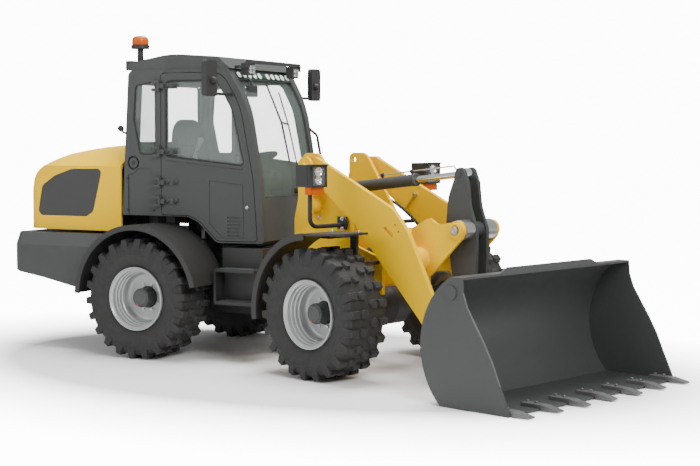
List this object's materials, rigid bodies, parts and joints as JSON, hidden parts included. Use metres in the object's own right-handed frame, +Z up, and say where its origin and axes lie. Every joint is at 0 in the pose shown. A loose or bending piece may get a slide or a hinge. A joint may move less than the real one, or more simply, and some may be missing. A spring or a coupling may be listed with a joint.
{
  "type": "articulated wheel loader",
  "caption": "compact articulated wheel loader with enclosed cab, curved windscreen, toothed bucket on a linkage, amber beacon and grey counterweight",
  "frame": {"origin": "centre of the overall box on the ground under the machine", "axes": "+X forward along the rear frame, +Y to the machine's left, +Z up; the front frame is steered 17 degrees to the right as in the picture"},
  "size_m": [5.9481, 2.8323, 2.7162],
  "materials": {
    "yellow_paint": "satin",
    "grey_paint": "satin",
    "black_frame": "satin",
    "black_plastic": "matte",
    "tyre_rubber": "matte",
    "rim_silver": "satin",
    "hub_grey": "satin",
    "window_glass": "clear",
    "lamp_lens": "clear",
    "amber_lens": "gloss",
    "red_lens": "gloss",
    "seat_fabric": "matte",
    "rod_chrome": "polished",
    "pin_steel": "machined",
    "worn_steel": "worn",
    "engine_iron": "rough",
    "mesh_black": "perforated"
  },
  "bodies": {
    "rear_frame": {"rear_chassis": "black_frame", "counterweight": "grey_paint", "tow_coupling": "grey_paint", "engine_block": "engine_iron", "rear_axle": "black_frame", "rear_fenders": "black_plastic", "access_steps": "black_plastic", "cab_body": "grey_paint", "cab_roof": "grey_paint", "cab_glass": "window_glass", "operator_seat": "seat_fabric", "cab_console": "black_plastic", "cab_fittings": "black_plastic", "work_lamp_lenses": "lamp_lens", "beacon": "amber_lens", "rear_lamps": "red_lens"},
    "hood": {"engine_hood": "yellow_paint", "hood_grilles": "mesh_black"},
    "right_door": {"right_door": "grey_paint", "right_door_glass": "window_glass", "right_mirror": "black_plastic"},
    "left_door": {"left_door": "grey_paint", "left_door_glass": "window_glass", "left_mirror": "black_plastic"},
    "front_frame": {"front_chassis": "yellow_paint", "front_axle": "black_frame", "front_fenders": "black_plastic", "headlamps": "black_plastic", "headlamp_lenses": "lamp_lens", "indicator_lenses": "amber_lens"},
    "lift_arm": {"lift_arm": "yellow_paint"},
    "lift_barrels": {"lift_barrels": "grey_paint"},
    "lift_rods": {"lift_rods": "rod_chrome"},
    "bell_crank_pin": {"bell_crank_pin": "pin_steel"},
    "bell_crank": {"bell_crank": "grey_paint"},
    "link_pin": {"link_pin": "pin_steel"},
    "tilt_link": {"tilt_link": "yellow_paint"},
    "tilt_barrel": {"tilt_barrel": "grey_paint"},
    "tilt_rod": {"tilt_rod": "rod_chrome"},
    "hitch_pins": {"hitch_pins": "pin_steel"},
    "bucket": {"quick_hitch": "yellow_paint", "bucket": "grey_paint", "bucket_teeth": "worn_steel"},
    "steer_barrel": {"steer_barrel": "black_frame"},
    "steer_rod": {"steer_rod": "rod_chrome"},
    "front_right_wheel": {"front_right_tyre": "tyre_rubber", "front_right_rim": "rim_silver", "front_right_hub": "hub_grey"},
    "front_left_wheel": {"front_left_tyre": "tyre_rubber", "front_left_rim": "rim_silver", "front_left_hub": "hub_grey"},
    "rear_right_wheel": {"rear_right_tyre": "tyre_rubber", "rear_right_rim": "rim_silver", "rear_right_hub": "hub_grey"},
    "rear_left_wheel": {"rear_left_tyre": "tyre_rubber", "rear_left_rim": "rim_silver", "rear_left_hub": "hub_grey"}
  },
  "joints": [
    {"name": "articulation", "type": "hinge", "parent": "rear_frame", "child": "front_frame", "pos_m": [-0.37, 0.462, 0.615], "axis": [0, 0, 1], "range_deg": [-21, 55]},
    {"name": "rear_right_axle", "type": "hinge", "parent": "rear_frame", "child": "rear_right_wheel", "pos_m": [-1.428, -0.294, 0.505], "axis": [0, 1, 0], "continuous": true},
    {"name": "rear_left_axle", "type": "hinge", "parent": "rear_frame", "child": "rear_left_wheel", "pos_m": [-1.428, 1.218, 0.505], "axis": [0, 1, 0], "continuous": true},
    {"name": "front_right_axle", "type": "hinge", "parent": "front_frame", "child": "front_right_wheel", "pos_m": [0.42074, -0.5703, 0.505], "axis": [0.2924, 0.9563, 0], "continuous": true},
    {"name": "front_left_axle", "type": "hinge", "parent": "front_frame", "child": "front_left_wheel", "pos_m": [0.8628, 0.87564, 0.505], "axis": [0.2924, 0.9563, 0], "continuous": true},
    {"name": "hood_hinge", "type": "hinge", "parent": "rear_frame", "child": "hood", "pos_m": [-1.86, 0.462, 1.71], "axis": [0, 1, 0], "range_deg": [0, 55]},
    {"name": "right_door_hinge", "type": "hinge", "parent": "rear_frame", "child": "right_door", "pos_m": [-1.38, -0.182, 1.65], "axis": [0, 0, -1], "range_deg": [0, 160]},
    {"name": "left_door_hinge", "type": "hinge", "parent": "rear_frame", "child": "left_door", "pos_m": [-1.38, 1.106, 1.65], "axis": [0, 0, 1], "range_deg": [0, 160]},
    {"name": "lift", "type": "hinge", "parent": "front_frame", "child": "lift_arm", "pos_m": [0.09859, 0.31874, 1.61], "axis": [-0.2924, -0.9563, 0], "range_deg": [0, 86]},
    {"name": "lift_barrel_swing", "type": "hinge", "parent": "front_frame", "child": "lift_barrels", "pos_m": [0.03165, 0.3392, 0.72], "axis": [-0.2924, -0.9563, 0], "range_deg": [-1, 52]},
    {"name": "lift_stroke", "type": "slide", "parent": "lift_barrels", "child": "lift_rods", "axis": [0.8985, -0.2747, 0.3424], "range_m": [-0.005, 0.82454]},
    {"name": "hitch_level", "type": "hinge", "parent": "lift_arm", "child": "hitch_pins", "pos_m": [1.50436, -0.11105, 0.3], "axis": [0.2924, 0.9563, 0], "range_deg": [-1, 69.8]},
    {"name": "bucket_tilt", "type": "hinge", "parent": "hitch_pins", "child": "bucket", "pos_m": [1.50436, -0.11105, 0.3], "axis": [0.2924, 0.9563, 0], "range_deg": [-30, 58]},
    {"name": "crank_level", "type": "hinge", "parent": "lift_arm", "child": "bell_crank_pin", "pos_m": [1.4661, -0.09935, 1.15], "axis": [-0.2924, -0.9563, 0], "range_deg": [-1, 16.48]},
    {"name": "crank_tilt", "type": "hinge", "parent": "bell_crank_pin", "child": "bell_crank", "pos_m": [1.4661, -0.09935, 1.15], "axis": [-0.2924, -0.9563, 0], "range_deg": [-5.8, 10.28]},
    {"name": "link_level", "type": "hinge", "parent": "bell_crank", "child": "link_pin", "pos_m": [1.44315, -0.09234, 0.48], "axis": [-0.2924, -0.9563, 0], "range_deg": [-119.68, 1]},
    {"name": "link_tilt", "type": "hinge", "parent": "link_pin", "child": "tilt_link", "pos_m": [1.44315, -0.09234, 0.48], "axis": [-0.2924, -0.9563, 0], "range_deg": [-119.9, 62.5]},
    {"name": "tilt_barrel_swing", "type": "hinge", "parent": "front_frame", "child": "tilt_barrel", "pos_m": [0.10815, 0.31581, 1.424], "axis": [-0.2924, -0.9563, 0], "range_deg": [-1, 79.09]},
    {"name": "tilt_stroke", "type": "slide", "parent": "tilt_barrel", "child": "tilt_rod", "axis": [0.9506, -0.2906, 0.1094], "range_m": [-0.04144, 0.02385]},
    {"name": "steer_barrel_swing", "type": "hinge", "parent": "rear_frame", "child": "steer_barrel", "pos_m": [-0.93, 0.572, 0.61], "axis": [0, 0, 1], "range_deg": [-5.56, 12.94]},
    {"name": "steer_stroke", "type": "slide", "parent": "steer_barrel", "child": "steer_rod", "axis": [0.9999, 0.0116, 0], "range_m": [-0.15859, 0.06364]}
  ],
  "couplings": [
    {"joint": "lift_barrel_swing", "follows": "lift", "ratio": 0.593},
    {"joint": "lift_stroke", "follows": "lift", "m_per_rad": 0.546},
    {"joint": "hitch_level", "follows": "lift", "ratio": 0.8},
    {"joint": "crank_level", "follows": "lift", "ratio": 0.18},
    {"joint": "link_level", "follows": "lift", "ratio": -1.38},
    {"joint": "tilt_barrel_swing", "follows": "lift", "ratio": 0.908},
    {"joint": "crank_tilt", "follows": "bucket_tilt", "ratio": 0.16},
    {"joint": "link_tilt", "follows": "bucket_tilt", "ratio": -2.05},
    {"joint": "tilt_stroke", "follows": "bucket_tilt", "m_per_rad": -0.036},
    {"joint": "steer_barrel_swing", "follows": "articulation", "ratio": 0.217},
    {"joint": "steer_stroke", "follows": "articulation", "m_per_rad": -0.16}
  ]
}
